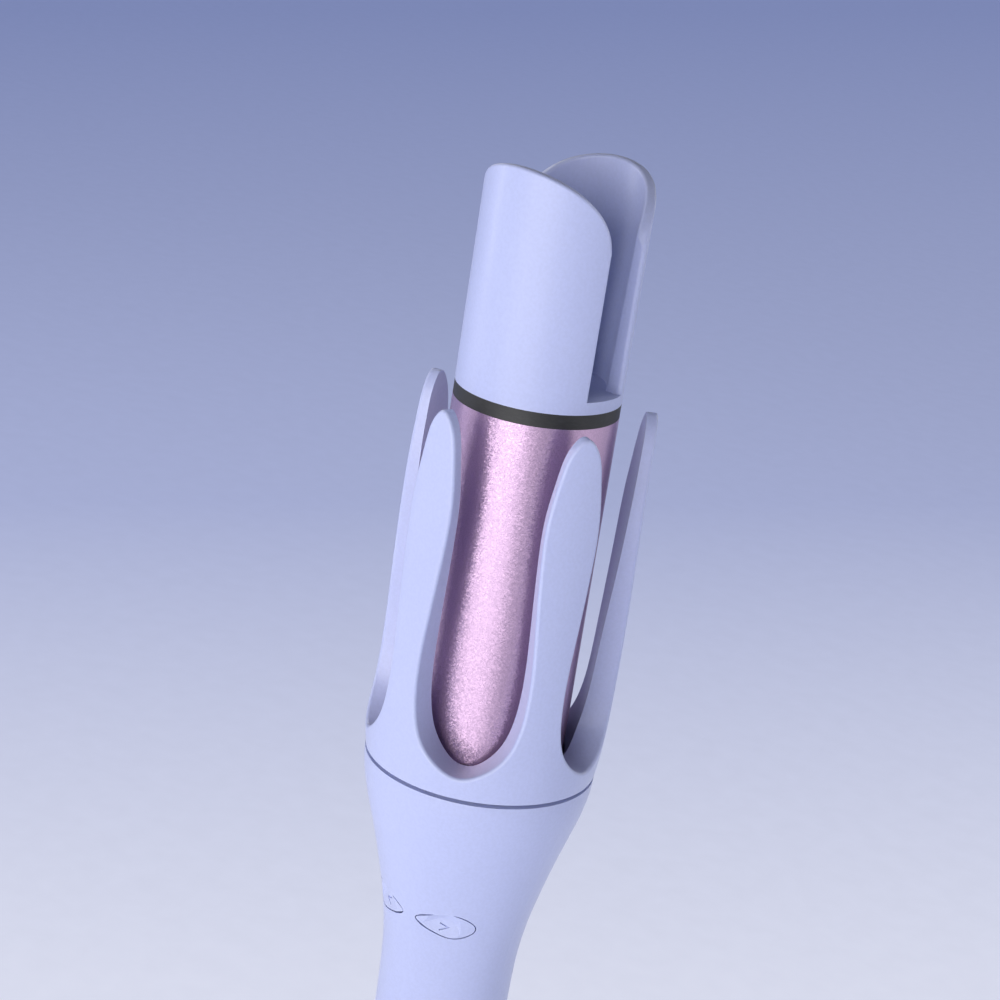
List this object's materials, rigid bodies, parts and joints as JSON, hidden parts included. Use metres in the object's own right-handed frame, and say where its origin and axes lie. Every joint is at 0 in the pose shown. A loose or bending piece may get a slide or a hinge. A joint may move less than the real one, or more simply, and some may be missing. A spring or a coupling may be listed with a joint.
{
  "type": "automatic hair curler",
  "caption": "Hand-held automatic hair curler: heated barrel with a slotted head, a motor-driven crown of long petals round the barrel, and a flared handle with direction buttons.",
  "frame": {"origin": "centre of the flat foot ring at the bottom of the handle, at the height it stands on", "axes": "+Z along the handle and barrel to the tip, -Y to the front with the two direction buttons, +X to the right seen from the front"},
  "size_m": [0.0477, 0.0478, 0.32],
  "materials": {
    "body_plastic": "soft satin lavender moulded plastic",
    "head_plastic": "satin lavender heat-resistant plastic",
    "button_plastic": "satin lavender plastic",
    "clear_lens": "frosted clear plastic light pipe",
    "barrel_metal": "lilac anodised, fine sparkle",
    "dark_ring": "charcoal heat-resistant plastic",
    "gland_rubber": "soft rubber",
    "screw_steel": "zinc-plated steel",
    "frame_plastic": "natural white moulded plastic",
    "heat_plastic": "glass-filled heat-resistant plastic",
    "circuit_board": "green solder mask",
    "board_component": "moulded component bodies",
    "motor_steel": "drawn steel can",
    "gearbox_plastic": "moulded ring housing",
    "shaft_steel": "ground steel",
    "gear_plastic": "natural acetal",
    "bush_plastic": "lubricated acetal",
    "heater_ceramic": "ceramic element in insulating film",
    "spreader_aluminium": "extruded aluminium",
    "sensor_glass": "glass bead",
    "lead_sleeving": "glass-fibre sleeving"
  },
  "bodies": {
    "handle": {"handle_sleeve": "body_plastic", "end_cap": "body_plastic", "end_cap_screws": "screw_steel", "chassis": "frame_plastic", "main_board": "circuit_board", "board_parts": "board_component", "power_switch": "board_component", "indicator_lens": "clear_lens", "motor": "motor_steel", "gearbox": "gearbox_plastic", "gear_deck": "frame_plastic", "gear_deck_screws": "screw_steel", "bearing_bush": "bush_plastic", "barrel_column": "heat_plastic", "column_screws": "screw_steel", "barrel": "barrel_metal", "barrel_screws": "screw_steel", "insulating_ring": "dark_ring", "head": "head_plastic", "head_screws": "screw_steel", "ptc_heater": "heater_ceramic", "front_spreader": "spreader_aluminium", "rear_spreader": "spreader_aluminium", "thermistor": "sensor_glass", "thermal_fuse": "shaft_steel", "heater_leads": "lead_sleeving", "switch_boards": "circuit_board", "direction_switches": "board_component"},
    "crown": {"crown": "body_plastic", "ring_gear": "gear_plastic", "ring_clip": "shaft_steel", "crown_screws": "screw_steel"},
    "layshaft": {"layshaft": "shaft_steel", "layshaft_gear": "gear_plastic", "pinion": "gear_plastic"},
    "drive_shaft": {"drive_shaft": "shaft_steel", "drive_gear": "gear_plastic"},
    "right_button": {"right_button": "button_plastic"},
    "left_button": {"left_button": "button_plastic"},
    "power_button": {"power_button": "button_plastic"},
    "cord_gland": {"cord_gland": "gland_rubber"}
  },
  "joints": [
    {"name": "crown_spin", "type": "hinge", "parent": "handle", "child": "crown", "pos_m": [0, 0, 0.2], "axis": [0, 0, 1], "continuous": true},
    {"name": "layshaft_spin", "type": "hinge", "parent": "handle", "child": "layshaft", "pos_m": [0, 0.0105, 0.18], "axis": [0, 0, 1], "continuous": true},
    {"name": "drive_spin", "type": "hinge", "parent": "handle", "child": "drive_shaft", "pos_m": [0, 0, 0.18], "axis": [0, 0, 1], "continuous": true},
    {"name": "right_button_press", "type": "slide", "parent": "handle", "child": "right_button", "axis": [-0.4848, 0.8746, 0], "range_m": [0, 0.0006], "stiffness_N_per_m": 800},
    {"name": "left_button_press", "type": "slide", "parent": "handle", "child": "left_button", "axis": [0.4848, 0.8746, 0], "range_m": [0, 0.0006], "stiffness_N_per_m": 800},
    {"name": "power_button_press", "type": "slide", "parent": "handle", "child": "power_button", "axis": [0, 1, 0], "range_m": [0, 0.0006], "stiffness_N_per_m": 800},
    {"name": "gland_swivel", "type": "hinge", "parent": "handle", "child": "cord_gland", "pos_m": [0, 0, 0.006], "axis": [0, 0, 1], "continuous": true}
  ],
  "couplings": [
    {"joint": "layshaft_spin", "follows": "crown_spin", "ratio": 3.5},
    {"joint": "drive_spin", "follows": "crown_spin", "ratio": -2.1538}
  ]
}
